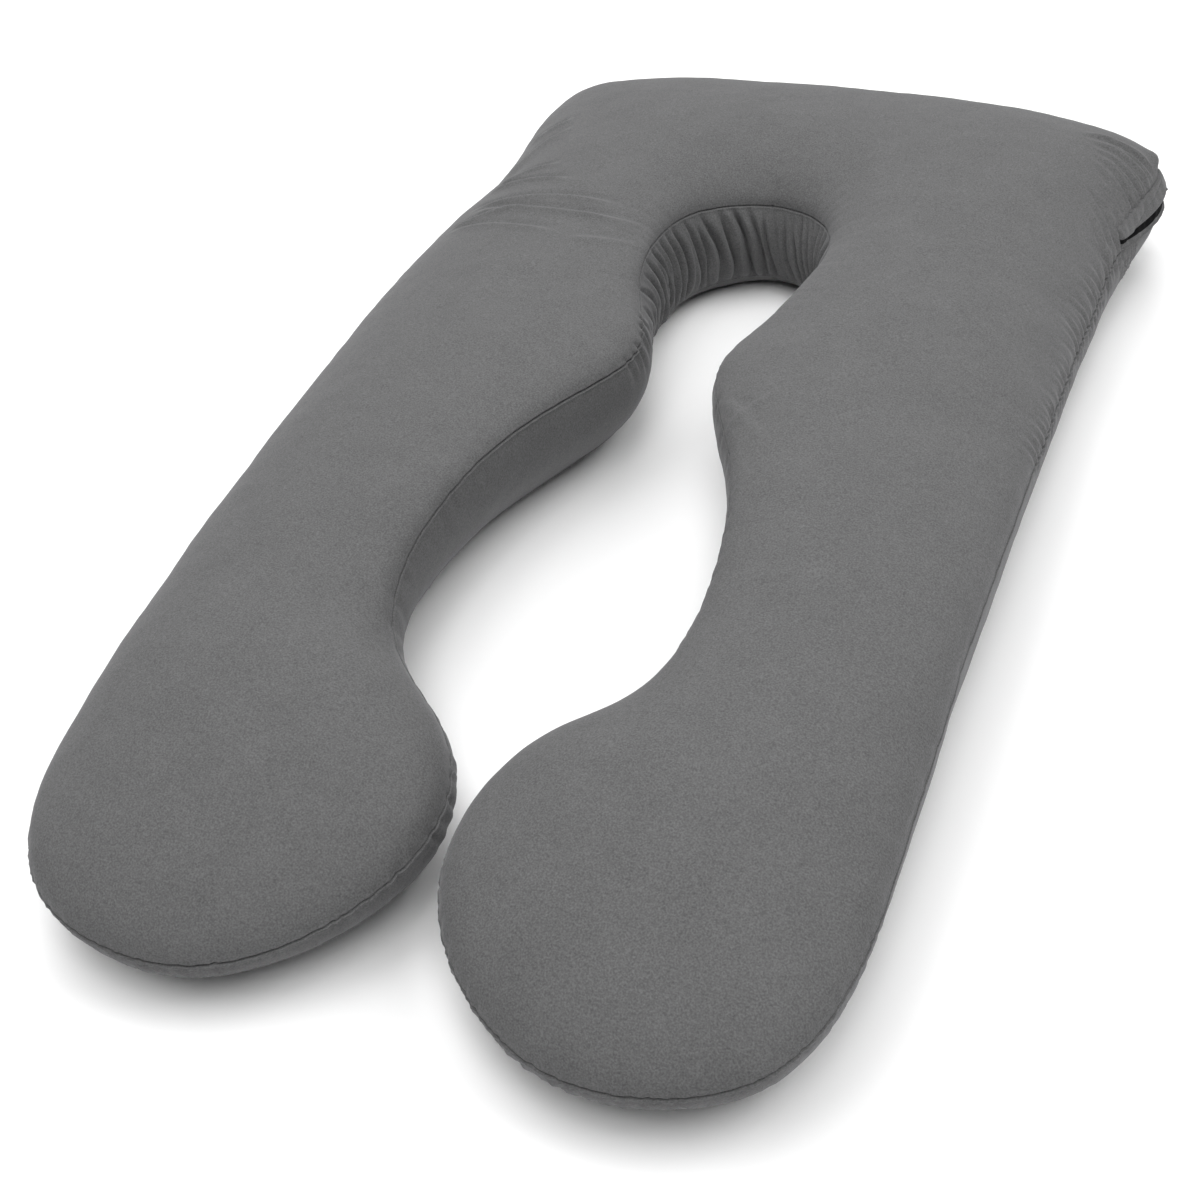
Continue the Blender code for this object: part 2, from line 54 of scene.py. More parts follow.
def make_camera():
    a, e, r = (math.radians(v) for v in (VIEW_AZIMUTH, VIEW_ELEVATION, VIEW_ROLL))
    back = Vector((math.sin(a) * math.cos(e), -math.cos(a) * math.cos(e), math.sin(e)))
    level = Vector((math.cos(a), math.sin(a), 0))
    upright = back.cross(level)
    right = level * math.cos(r) + upright * math.sin(r)
    up = upright * math.cos(r) - level * math.sin(r)
    data = bpy.data.cameras.new("camera")
    data.sensor_width = SENSOR
    data.lens = SENSOR * FOCAL_PIXELS / PHOTO
    camera = bpy.data.objects.new("camera", data)
    turn = Matrix((right, up, back)).transposed().to_4x4()
    turn.translation = Vector(VIEW_TARGET) + back * VIEW_DISTANCE
    camera.matrix_world = turn
    bpy.context.scene.collection.objects.link(camera)
    bpy.context.scene.camera = camera


# ---- sizes, in metres, as in the part ---------------------
MIDDLE = (0.0243, 0.6845)    # of the whole, from the legs' middle line and the feet
THICKNESS = 0.184
FOOT_DROP = 0.040
FOOT_LENGTH = 0.30
CROWN_REACH = 0.25
CROWN_FULL = 1.05
BOTTOM_SEAM = 0.026
UNDER_REACH = 0.038
DENSE_STEP = 0.003
PLAIN_STEP = 0.0042          # between stations along the sewn edge
FINE_STEP = 0.0022           # where the edge is gathered, creased or opens
PANEL_STEP = 0.0052          # between points inside the top panel
CREASED_STEP = 0.0026        # where the panel is creased
UNDER_STEP = 0.016
MARGIN = 0.6                 # of a step, between an outline and the points inside it
FINE_AT_NECK = 0.42          # fine stations, each way from the neck's middle
FINE_BEFORE_CORNER = 0.06    # and from before the head corner
FINE_PAST_WAIST = 0.1        # to past the waist

Edge = namedtuple("Edge", "place x y seam bulge tuck")
EDGE = (
    Edge("head middle", 0.000, 1.370, 0.135, 0.004, 0.012),
    Edge("head", 0.235, 1.367, 0.125, 0.004, 0.012),
    Edge("head corner", 0.405, 1.308, 0.112, 0.008, 0.012),
    Edge("upper side", 0.402, 1.212, 0.100, 0.010, 0.010),
    Edge("shoulder side", 0.382, 1.020, 0.090, 0.007, 0.012),
    Edge("waist side", 0.374, 0.765, 0.105, 0.004, 0.014),
    Edge("leg side", 0.366, 0.480, 0.115, 0.002, 0.014),
    Edge("foot side", 0.360, 0.220, 0.098, 0.002, 0.016),
    Edge("foot corner", 0.316, 0.042, 0.080, 0.003, 0.025),
    Edge("foot tip", 0.164, 0.000, 0.067, 0.004, 0.022),
    Edge("toe", 0.053, 0.066, 0.078, 0.004, 0.030),
    Edge("foot inner side", 0.0145, 0.160, 0.088, 0.008, 0.032),
    Edge("heel", 0.043, 0.268, 0.092, 0.012, 0.038),
    Edge("calf", 0.123, 0.345, 0.122, 0.014, 0.040),
    Edge("belly", 0.114, 0.597, 0.148, 0.014, 0.040),
    Edge("chest", 0.047, 0.773, 0.136, 0.014, 0.034),
    Edge("neck mouth", 0.072, 0.862, 0.139, 0.015, 0.018),
    Edge("lower neck", 0.092, 0.933, 0.144, 0.014, 0.008),
    Edge("neck side", 0.096, 1.000, 0.137, 0.013, 0.002),
    Edge("upper neck", 0.076, 1.068, 0.129, 0.013, 0.000),
    Edge("neck middle", 0.000, 1.115, 0.120, 0.013, 0.000),
)
# The left head corner is drawn in, so its places have rows of their own.
LEFT_HEAD = (
    Edge("head", -0.205, 1.368, 0.126, 0.004, 0.012),
    Edge("head corner", -0.322, 1.323, 0.114, 0.005, 0.012),
    Edge("upper side", -0.346, 1.205, 0.106, 0.006, 0.012),
    Edge("pinch", -0.345, 1.095, 0.100, 0.006, 0.012),
    Edge("shoulder side", -0.368, 1.000, 0.094, 0.005, 0.012),
)
# So has the inner side of the left foot, which comes closer to the middle.
LEFT_FOOT = Edge("foot inner side", -0.008, 0.166, 0.088, 0.008, 0.032)


def full_edge():
    """Rows of the whole sewn edge, clockwise from the middle of the head."""
    right = [row[1:] for row in EDGE]
    own = {row.place for row in LEFT_HEAD}
    left = [row for row in EDGE[1:-1] if row.place not in own]
    mirrored = [(-row.x,) + row[2:] for row in reversed(left)]
    mirrored[[row.place for row in reversed(left)].index(LEFT_FOOT.place)] = LEFT_FOOT[1:]
    rows = np.array(right + mirrored + [row[1:] for row in reversed(LEFT_HEAD)])
    rows[:, :2] -= MIDDLE
    names = [row.place for row in EDGE] + ["left " + row.place for row in reversed(left)]
    names += ["left " + row.place for row in reversed(LEFT_HEAD)]
    return rows, names


def closed_spline(rows, step):
    """Smooth closed curve through the rows: its points and the rows' places on it."""
    count = len(rows)
    chord = np.linalg.norm(np.roll(rows, -1, 0)[:, :2] - rows[:, :2], axis=1)
    span = np.sqrt(chord)
    before = np.roll(span, 1)
    rise = (np.roll(rows, -1, 0) - rows) / span[:, None]
    system = np.zeros((count, count))
    for i in range(count):
        system[i, i - 1] = span[i]
        system[i, i] = 2 * (before[i] + span[i])
        system[i, (i + 1) % count] = before[i]
    target = 3 * (span[:, None] * np.roll(rise, 1, 0) + before[:, None] * rise)
    slope = np.linalg.solve(system, target)
    points = []
    starts = []
    for i in range(count):
        j = (i + 1) % count
        pieces = max(2, round(chord[i] / step))
        t = np.arange(pieces)[:, None] / pieces
        a = 2 * t ** 3 - 3 * t ** 2 + 1
        b = (t ** 3 - 2 * t ** 2 + t) * span[i]
        c = 3 * t ** 2 - 2 * t ** 3
        d = (t ** 3 - t ** 2) * span[i]
        starts.append(sum(len(p) for p in points))
        points.append(a * rows[i] + b * slope[i] + c * rows[j] + d * slope[j])
    return np.vstack(points), starts


class SewnEdge:
    """The closed sewn edge, measured along its length."""

    def __init__(self):
        rows, names = full_edge()
        self.points, starts = closed_spline(rows, DENSE_STEP)
        after = np.roll(self.points, -1, 0)
        self.steps = np.linalg.norm(after[:, :2] - self.points[:, :2], axis=1)
        self.along = np.concatenate([[0], np.cumsum(self.steps)])
        self.total = self.along[-1]
        self.places = {name: self.along[start] for name, start in zip(names, starts)}

    def at(self, s):
        s = np.mod(s, self.total)
        closed = np.vstack([self.points, self.points[:1]])
        return np.stack([np.interp(s, self.along, closed[:, k]) for k in range(5)], axis=-1)

    def outward(self, s):
        way = self.at(s + DENSE_STEP)[..., :2] - self.at(s - DENSE_STEP)[..., :2]
        way /= np.linalg.norm(way, axis=-1, keepdims=True)
        return np.stack([-way[..., 1], way[..., 0]], axis=-1)

    def from_place(self, s, place):
        """Signed distance along the edge from a named place."""
        return (s - self.places[place] + self.total / 2) % self.total - self.total / 2

    def stations(self):
        s = self.along[:-1]
        fine = abs(self.from_place(s, "neck middle")) < FINE_AT_NECK
        first = self.places["head corner"] - FINE_BEFORE_CORNER
        last = self.places["waist side"] + FINE_PAST_WAIST
        fine |= (s > first) & (s < last)
        step = np.where(fine, FINE_STEP, PLAIN_STEP)
        index = np.concatenate([[0], np.cumsum(self.steps / step)])
        wanted = np.arange(round(index[-1])) * index[-1] / round(index[-1])
        return np.interp(wanted, index, self.along)


def smooth(t):
    t = np.clip(t, 0, 1)
    return t * t * (3 - 2 * t)


def fullness(y):
    """Thickness at the middle of a crown, at plan distances y."""
    return THICKNESS - FOOT_DROP * smooth(1 - (y + MIDDLE[1]) / FOOT_LENGTH)


CHUNK = 2000                 # points whose crown is worked out at once
CLOSE_REACH = 0.006          # inset up to which the inset itself is the reach
CLOSE_BLEND = 0.010          # and over which the weighted crown takes over


def crown(points, edge):
    """Height of the top panel. The weights of the edge fall with the cube of distance."""
    middle = (edge.points[:, :2] + np.roll(edge.points[:, :2], -1, 0)) / 2
    height = np.empty(len(points))
    for start in range(0, len(points), CHUNK):
        part = points[start:start + CHUNK]
        gap = np.linalg.norm(part[:, None] - middle[None], axis=2)
        weight = edge.steps / np.maximum(gap, DENSE_STEP) ** 3
        total = weight.sum(1)
        reach = np.sqrt(2 / total)
        seam = (weight * edge.points[:, 2]).sum(1) / total
        share = np.minimum(reach * CROWN_FULL / CROWN_REACH, 1)
        rise = (fullness(part[:, 1]) - seam) * np.sqrt(1 - (1 - share) ** 2)
        height[start:start + CHUNK] = seam + rise
    return height


def near_crown(edge, rows, inset, plan):
    """Crown height close to the sewn edge, where the inset itself is the reach."""
    share = min(inset * CROWN_FULL / CROWN_REACH, 1)
    rise = (fullness(plan[:, 1]) - rows[:, 2]) * math.sqrt(1 - (1 - share) ** 2)
    close = rows[:, 2] + rise
    if inset < CLOSE_REACH:
        return close
    blend = min((inset - CLOSE_REACH) / CLOSE_BLEND, 1)
    return close * (1 - blend) + crown(plan, edge) * blend


# ---- uneven cloth, the same every time --------------------
def hash_share(index, salt):
    """An even-looking share from 0 to 1 for a whole number."""
    value = np.sin(np.asarray(index) * 12.9898 + salt * 78.233) * 43758.5453
    return value - np.floor(value)


def patches(points, size, salt):
    """Soft unevenness from -1 to 1, with lumps of the given size."""
    shift = Vector((salt * 3.17, salt * 1.31, salt * 7.73))
    return np.array([noise.noise(Vector(p) / size + shift) for p in points.reshape(-1, 3)]
                    ).reshape(points.shape[:-1])


# ---- the surface from where it rests, round its side and onto its top ----
# Rows of points that follow the sewn edge. Near a seam they lie close together.
SEAM_ROWS = (0.0005, 0.0010, 0.0016, 0.0023, 0.0032, 0.0044, 0.0060, 0.0081, 0.0108, 0.0142)
TOP_INSETS = (0.0062, 0.0080, 0.0102, 0.0130, 0.0162, 0.0198, 0.0238, 0.0282, 0.0330, 0.0380)
SIDE_MIDDLE_ROWS = 19
UNDER_SHARES = (0.30, 0.42, 0.56, 0.72, 0.86, 1.0)


class Surface:
    """Grid of points: one column for each station along the sewn edge."""

    def __init__(self, edge):
        self.edge = edge
        self.s = edge.stations()
        self.rows = edge.at(self.s)
        self.way = edge.outward(self.s)
        self.grid = []
        self.add_under()
        self.bottom = len(self.grid)
        self.add_side()
        self.top = len(self.grid) - 1
        self.add_panel()
        self.grid = np.array(self.grid)
        step = np.linalg.norm(np.diff(self.grid, axis=0), axis=2)
        down = np.vstack([np.zeros(len(self.s)), np.cumsum(step, axis=0)])
        self.v = down - down[self.top]
        self.side_length = -self.v[self.bottom]

    def add_under(self):
        seam_shares = [d / (BOTTOM_SEAM * 1.9) for d in SEAM_ROWS[:7]]
        for share in UNDER_SHARES[::-1] + tuple(seam_shares[::-1]):
            inset = self.rows[:, 4] + UNDER_REACH * share
            plan = self.rows[:, :2] - self.way * inset[:, None]
            height = np.full(len(plan), BOTTOM_SEAM * (1 - share) ** 2)
            self.grid.append(np.column_stack([plan, height]))

    def add_side(self):
        height = self.rows[:, 2] - BOTTOM_SEAM
        near = np.array((0.0,) + SEAM_ROWS)
        first = near[:8]
        gap = 1 - (near[-1] + first[-1]) / height
        shares = [1 - d / height for d in first]
        for k in range(1, SIDE_MIDDLE_ROWS):
            shares.append(near[-1] / height + gap * (1 - k / SIDE_MIDDLE_ROWS))
        shares += [d / height for d in near[::-1]]
        for down in shares:
            out = 4 * self.rows[:, 3] * down * (1 - down) - self.rows[:, 4] * down ** 1.5
            plan = self.rows[:, :2] + self.way * out[:, None]
            self.grid.append(np.column_stack([plan, BOTTOM_SEAM + height * (1 - down)]))

    def add_panel(self):
        full = (THICKNESS - self.rows[:, 2].mean()) ** 2 * 2 * CROWN_FULL / CROWN_REACH
        for inset in [d * d / full for d in SEAM_ROWS] + list(TOP_INSETS):
            plan = self.rows[:, :2] - self.way * inset
            height = near_crown(self.edge, self.rows, inset, plan)
            self.grid.append(np.column_stack([plan, height]))


# ---- creases ----------------------------------------------
# One row for each crease: where it starts and ends, how far it bows to its left,
# how high it stands and how wide it is. Each has a trough along its right side.
Crease = namedtuple("Crease", "x0 y0 x1 y1 bow rise width")
HEAD_CREASES = (
    # fan at the right head corner, from the panel towards the opening
    Crease(0.318, 1.282, 0.412, 1.272, 0.002, 0.0040, 0.0036),
    Crease(0.330, 1.270, 0.414, 1.245, 0.002, 0.0042, 0.0036),
    Crease(0.336, 1.256, 0.414, 1.224, 0.002, 0.0036, 0.0030),
    Crease(0.342, 1.244, 0.406, 1.198, 0.003, 0.0044, 0.0034),
    Crease(0.346, 1.230, 0.397, 1.168, 0.003, 0.0042, 0.0030),
    Crease(0.352, 1.206, 0.394, 1.151, 0.002, 0.0040, 0.0028),
    Crease(0.348, 1.182, 0.391, 1.134, 0.002, 0.0036, 0.0026),
    Crease(0.352, 1.146, 0.387, 1.091, 0.002, 0.0030, 0.0024),
    # ridges that run in from the pinched left side of the head
    Crease(-0.275, 1.205, -0.328, 1.168, 0.003, 0.0030, 0.0045),
    Crease(-0.262, 1.185, -0.320, 1.066, -0.010, 0.0036, 0.0046),
    Crease(-0.240, 1.082, -0.322, 1.038, -0.006, 0.0034, 0.0042),
    Crease(-0.210, 1.041, -0.326, 1.034, -0.003, 0.0034, 0.0046),
    Crease(-0.130, 1.006, -0.334, 0.982, -0.006, 0.0030, 0.0050),
    Crease(-0.100, 0.984, -0.325, 0.976, 0.008, 0.0036, 0.0055),
    Crease(-0.235, 0.974, -0.340, 0.944, -0.003, 0.0032, 0.0046),
    Crease(-0.180, 0.928, -0.340, 0.936, -0.002, 0.0026, 0.0050),
    Crease(-0.095, 0.945, -0.180, 0.920, -0.002, 0.0014, 0.0055),
    # inner side of the right leg
    Crease(0.135, 0.630, 0.070, 0.705, -0.003, 0.0016, 0.0050),
    Crease(0.135, 0.712, 0.090, 0.655, -0.003, 0.0014, 0.0050),
)
CREASE_IN = 0.35             # share of its length over which a crease rises
CREASE_OUT = 0.22            # and over which it ends
TROUGH_AWAY = 1.8            # trough's distance, in widths
TROUGH_DEPTH = 0.8           # trough's depth, as a share of the rise
CREASE_DEEPER = 1.15
CREST = 0.20                 # rounding of a crease's crest, in widths squared
FAN_CREASES = 8              # rows of the fan, which have lower creases between them
BETWEEN_RISE = 0.6
BETWEEN_WIDTH = 0.75
# Creases of the side below the opening, in distances towards the feet from the
# upper side's place and above the top seam.
SIDE_CREASES = (
    Crease(0.0600, -0.0040, 0.0760, -0.0400, 0.0, 0.0016, 0.0022),
    Crease(0.0540, -0.0080, 0.0680, -0.0420, 0.0, 0.0020, 0.0020),
    Crease(0.0460, -0.0110, 0.0600, -0.0440, 0.0, 0.0016, 0.0022),
    Crease(0.0400, -0.0130, 0.0530, -0.0400, 0.0, 0.0022, 0.0020),
    Crease(0.0320, -0.0150, 0.0440, -0.0440, 0.0, 0.0018, 0.0022),
    Crease(0.0240, -0.0170, 0.0360, -0.0400, 0.0, 0.0016, 0.0020),
    Crease(0.0160, -0.0190, 0.0270, -0.0420, 0.0, 0.0018, 0.0022),
)
# Plan boxes round the head's creases, from their lowest x and y to their highest.
CREASED = (
    (0.300, 1.085, 0.415, 1.300),
    (-0.350, 0.900, -0.080, 1.220),
)


def is_creased(plan):
    inside = np.zeros(len(plan), bool)
    for x0, y0, x1, y1 in CREASED:
        inside |= (plan[:, 0] > x0) & (plan[:, 0] < x1) & (plan[:, 1] > y0) & (plan[:, 1] < y1)
    return inside


def fan_between():
    """A lower crease between each two of the fan."""
    between = []
    for one, other in zip(HEAD_CREASES[:FAN_CREASES - 1], HEAD_CREASES[1:FAN_CREASES]):
        middle = [(a + b) / 2 for a, b in zip(one, other)]
        row = Crease(*middle)
        between.append(row._replace(rise=BETWEEN_RISE * row.rise,
                                    width=BETWEEN_WIDTH * row.width))
    return tuple(between)


def crease_rise(points, creases):
    """Height that creases add at plan points, or at places on the unrolled side."""
    total = np.zeros(points.shape[:-1])
    for row in creases:
        start = np.array([row.x0, row.y0])
        way = np.array([row.x1, row.y1]) - start
        length = np.linalg.norm(way)
        way /= length
        side = np.array([-way[1], way[0]])
        t = (points - start) @ way / length
        inside = np.clip(t, 0, 1)
        off = (points - start) @ side - 4 * row.bow * inside * (1 - inside)
        fade = smooth(np.minimum(t / CREASE_IN, (1 - t) / CREASE_OUT))
        ridge = np.exp(math.sqrt(CREST) - np.sqrt((off / row.width) ** 2 + CREST))
        trough = np.exp(-((off + TROUGH_AWAY * row.width) / row.width) ** 2)
        total += CREASE_DEEPER * row.rise * fade * (ridge - TROUGH_DEPTH * trough)
    return total


# ---- pinches across a seam --------------------------------
Pinch = namedtuple("Pinch", "s depth width onto down lean")
# One row for each stretch of the sewn edge. first and last are places, before and
# after are distances past them. pitch is the spacing of the pinches, onto and down
# how far they reach over the panel and down the side, and lean how they slant.
Stretch = namedtuple("Stretch", "first before last after pitch depth width onto down lean")
STRETCHES = (
    Stretch("upper side", 0.058, "upper side", 0.300, 0.0130, 0.0027, 0.0026, 0.030, 0.014, 0.10),
    Stretch("upper side", 0.060, "upper side", 0.480, 0.0100, 0.0014, 0.0016, 0.016, 0.020, 0.20),
    Stretch("upper side", 0.300, "upper side", 0.510, 0.0150, 0.0020, 0.0026, 0.020, 0.014, 0.15),
    Stretch("leg side", -0.10, "foot side", 0.000, 0.0420, 0.0009, 0.0050, 0.008, 0.014, 0.00),
    Stretch("foot side", 0.030, "foot inner side", 0.000, 0.0195, 0.0016, 0.0024, 0.010, 0.024,
            0.10),
    Stretch("foot side", 0.040, "toe", 0.060, 0.0090, 0.0013, 0.0016, 0.008, 0.018, 0.20),
    Stretch("left foot inner side", -0.090, "left foot tip", -0.070, 0.0205, 0.0024, 0.0032,
            0.004, 0.026, 0.20),
    Stretch("left toe", -0.060, "left foot tip", -0.060, 0.0100, 0.0014, 0.0018,
            0.003, 0.024, 0.30),
    Stretch("left foot tip", -0.050, "left foot side", 0.020, 0.0160, 0.0015, 0.0026,
            0.007, 0.026, 0.55),
    Stretch("left foot tip", -0.060, "left foot corner", 0.080, 0.0080, 0.0010, 0.0016,
            0.005, 0.024, 0.60),
    Stretch("left foot side", 0.020, "left waist side", 0.000, 0.0340, 0.0008, 0.0045,
            0.008, 0.018, 0.00),
    Stretch("heel", -0.060, "neck mouth", 0.000, 0.0300, 0.0012, 0.0040, 0.007, 0.022, 0.10),
    Stretch("left belly", 0.000, "left heel", 0.060, 0.0270, 0.0011, 0.0040, 0.006, 0.024, 0.10),
)
# Deeper pinches where the strip turns out of the neck, from the neck's middle.
CHEST_PINCHES = (
    Pinch(0.3350, 0.0026, 0.0028, 0.006, 0.040, 0.35),
    Pinch(0.3510, 0.0034, 0.0030, 0.006, 0.028, 0.10),
    Pinch(0.3660, 0.0020, 0.0026, 0.004, 0.022, 0.10),
    Pinch(0.3850, 0.0036, 0.0032, 0.006, 0.026, 0.10),
    Pinch(0.3990, 0.0018, 0.0028, 0.004, 0.018, 0.10),
    Pinch(0.4130, 0.0028, 0.0032, 0.005, 0.022, 0.15),
    Pinch(0.4380, 0.0018, 0.0034, 0.004, 0.020, 0.15),
)
ON_SEAM = 0.55               # share of a pinch that is missing on the seam itself
ON_SEAM_WIDE = 0.003
PINCH_NEAR = 0.05            # how far along the edge a pinch is worked out
PINCH_CUT = 0.62             # width of its cut, in widths
PINCH_SPREAD = 0.5           # how much wider it is at its reach
PINCH_SWELL = 0.5            # swelling beside it, as a share of the cut
PINCH_SWELL_AWAY = 1.9       # and its distance, in widths
UNEVEN_PLACE = 0.5           # of the pitch
UNEVEN_DEPTH = (0.45, 0.80)  # least share of the depth, and what is added at most
UNEVEN_SIZE = (0.8, 0.5)     # the same for a pinch's size
UNEVEN_LEAN = 0.5


def pinches(edge):
    middle = edge.places["neck middle"]
    rows = [row._replace(s=middle + row.s) for row in CHEST_PINCHES]
    for k, row in enumerate(STRETCHES):
        first = edge.places[row.first] + row.before
        last = edge.places[row.last] + row.after
        count = int((last - first) / row.pitch)
        for i in range(count):
            shift = UNEVEN_PLACE * (hash_share(i, 10 + k) - 0.5)
            strength = UNEVEN_DEPTH[0] + UNEVEN_DEPTH[1] * hash_share(i, 20 + k)
            lean = row.lean + UNEVEN_LEAN * (hash_share(i, 30 + k) - 0.5)
            size = UNEVEN_SIZE[0] + UNEVEN_SIZE[1] * hash_share(i, 40 + k)
            rows.append(Pinch(first + (i + 0.5 + shift) * row.pitch, row.depth * strength,
                              row.width * size, row.onto * size, row.down * size, lean))
    return rows


def pinch_rise(edge, s, v):
    total = np.zeros(v.shape)
    for row in pinches(edge):
        off = (s - row.s + edge.total / 2) % edge.total - edge.total / 2
        near = np.abs(off) < PINCH_NEAR
        part = off[near] - row.lean * v[:, near]
        reach = np.where(v[:, near] > 0, row.onto, row.down)
        fade = np.exp(-(np.abs(v[:, near]) / reach) ** 2.5)
        fade *= 1 - ON_SEAM * np.exp(-(v[:, near] / ON_SEAM_WIDE) ** 2)
        wide = row.width * (1 + PINCH_SPREAD * np.abs(v[:, near]) / reach)
        cut = -1 / (1 + (part / (PINCH_CUT * wide)) ** 2) ** 1.5
        swell = PINCH_SWELL * np.exp(-((np.abs(part) - PINCH_SWELL_AWAY * wide) / wide) ** 2)
        total[:, near] += row.depth * fade * (cut + swell)
    return total


# ---- gathers of the neck strip ----------------------------
NECK_REACH = 0.36
# One row for each deep gather: its distance along the strip from the neck's middle
# at the top seam (positive is to the left), how far it leans on its way down, its
# depth and width, and the share of the way down at which it starts.
Gather = namedtuple("Gather", "at lean depth width first")
GATHERS = (
    Gather(-0.300, 0.040, 0.0030, 0.0040, 0.00),
    Gather(-0.270, 0.045, 0.0036, 0.0042, 0.00),
    Gather(-0.238, 0.040, 0.0034, 0.0040, 0.05),
    Gather(-0.205, 0.030, 0.0040, 0.0044, 0.00),
    Gather(-0.176, 0.022, 0.0034, 0.0040, 0.10),
    Gather(-0.150, 0.014, 0.0040, 0.0044, 0.00),
    Gather(-0.126, 0.004, 0.0034, 0.0038, 0.00),
    Gather(-0.106, -0.004, 0.0036, 0.0034, 0.00),
    Gather(-0.090, -0.018, 0.0030, 0.0030, 0.00),
    Gather(-0.078, -0.022, 0.0028, 0.0030, 0.00),
    Gather(-0.065, -0.030, 0.0036, 0.0034, 0.00),
    Gather(-0.052, -0.030, 0.0030, 0.0032, 0.00),
    Gather(-0.041, -0.026, 0.0040, 0.0036, 0.00),
    Gather(-0.026, -0.026, 0.0050, 0.0036, 0.24),
    Gather(-0.015, -0.016, 0.0030, 0.0030, 0.06),
    Gather(0.014, -0.017, 0.0034, 0.0034, 0.12),
    Gather(0.028, -0.021, 0.0042, 0.0040, 0.02),
    Gather(0.047, -0.022, 0.0066, 0.0042, 0.02),
    Gather(0.066, -0.019, 0.0046, 0.0042, 0.00),
    Gather(0.088, -0.024, 0.0050, 0.0044, 0.00),
    Gather(0.103, -0.018, 0.0034, 0.0034, 0.10),
    Gather(0.116, -0.021, 0.0044, 0.0038, 0.02),
    Gather(0.136, -0.013, 0.0062, 0.0042, 0.00),
    Gather(0.153, -0.012, 0.0044, 0.0036, 0.00),
    Gather(0.174, -0.018, 0.0054, 0.0040, 0.00),
    Gather(0.186, -0.022, 0.0030, 0.0028, 0.00),
    Gather(0.199, -0.028, 0.0056, 0.0040, 0.00),
    Gather(0.214, -0.036, 0.0024, 0.0028, 0.12),
    Gather(0.225, -0.034, 0.0050, 0.0038, 0.00),
    Gather(0.239, -0.044, 0.0020, 0.0026, 0.20),
    Gather(0.251, -0.047, 0.0046, 0.0036, 0.04),
    Gather(0.263, -0.048, 0.0022, 0.0028, 0.22),
    Gather(0.280, -0.060, 0.0046, 0.0036, 0.00),
    Gather(0.291, -0.054, 0.0020, 0.0028, 0.25),
    Gather(0.311, -0.060, 0.0040, 0.0036, 0.05),
    Gather(0.326, -0.046, 0.0020, 0.0030, 0.15),
)
GATHER_DEEPER = 1.80
GATHER_PUFF = 0.30           # ridge beside a gather, as a share of its depth
GATHER_IN = 0.30             # share of the way down over which a gather deepens
GATHER_LAST = 1.02           # share of the way down at which gathers have died away
GATHER_OUT = 0.14            # and over which they do
GATHER_SWAY = 0.0012         # how far a deep gather wanders on its way down
VALLEY_CUT = 0.60            # width of a gather's fold, in widths
VALLEY_PUFF_AWAY = 2.0       # distance and width of the ridge beside it, in widths
VALLEY_PUFF_WIDE = 1.1
NECK_FADE = 0.05             # over which the neck's own relief begins and ends
FINE_PITCH = 0.0090          # small gathers between the deep ones
FINE_DEPTH = 0.0012
FINE_WIDTH = 0.0022
FINE_SWAY = 0.002
JOIN_DEPTH = 0.0022          # upright seam near the middle of the strip
JOIN_WIDTH = 0.0009
JOIN_LEAN = -0.018


def valley(off, width):
    """Narrow fold with a ridge of puffed cloth on either side."""
    cut = 1 / (1 + (off / (VALLEY_CUT * width)) ** 2) ** 1.4
    puff = np.exp(-((np.abs(off) - VALLEY_PUFF_AWAY * width) / (VALLEY_PUFF_WIDE * width)) ** 2)
    return GATHER_PUFF * puff - cut


def gather_rise(edge, s, down):
    from_middle = edge.from_place(s, "neck middle")
    near = np.abs(from_middle) < NECK_REACH + 0.04
    at = from_middle[near]
    share = np.clip(down[:, near], 0, 1)
    swing = np.sin(share * math.pi / 2)
    foot = smooth((GATHER_LAST - share) / GATHER_OUT)
    total = np.zeros(share.shape)
    for i, row in enumerate(GATHERS):
        sway = GATHER_SWAY * np.sin(share * 8 + 2 * i)
        off = at - row.at - row.lean * swing - sway
        fade = smooth((share - row.first + 0.02) / GATHER_IN) ** 0.7 * foot
        total += GATHER_DEEPER * row.depth * valley(off, row.width) * fade
    for i in range(int(2 * NECK_REACH / FINE_PITCH)):
        middle = i * FINE_PITCH - NECK_REACH + 0.008 * (hash_share(i, 51) - 0.5)
        leans = [row.lean for row in GATHERS]
        lean = float(np.interp(middle, [row.at for row in GATHERS], leans))
        lean += 0.010 * (hash_share(i, 52) - 0.5)
        depth = FINE_DEPTH * (0.3 + 1.3 * hash_share(i, 53))
        first = 0.02 + 0.45 * hash_share(i, 54)
        last = 0.70 + 0.30 * hash_share(i, 55)
        fade = smooth((share - first) / 0.2 + 0.5) * smooth((last - share) / 0.2 + 0.5)
        sway = FINE_SWAY * np.sin(share * 7 + i)
        off = at - middle - lean * swing - sway
        total += depth * valley(off, FINE_WIDTH) * fade
    total -= JOIN_DEPTH * np.exp(-((at + 0.001 - JOIN_LEAN * swing) / JOIN_WIDTH) ** 2)
    result = np.zeros(down.shape)
    result[:, near] = total * smooth((NECK_REACH + 0.01 - np.abs(at)) / NECK_FADE)
    return result


# ---- seams ------------------------------------------------
# A seam is a fine groove with a roll of cloth below it and a lower one above.
SEAM_GROOVE = 0.0017
SEAM_WIDTH = 0.0008
SEAM_ROLL = 0.0013
SEAM_ROLL_AWAY = 0.0019
SEAM_ROLL_WIDTH = 0.0012
UPPER_ROLL = 0.0006
NECK_FINER = 0.5             # share of the top seam's relief that is missing at the neck


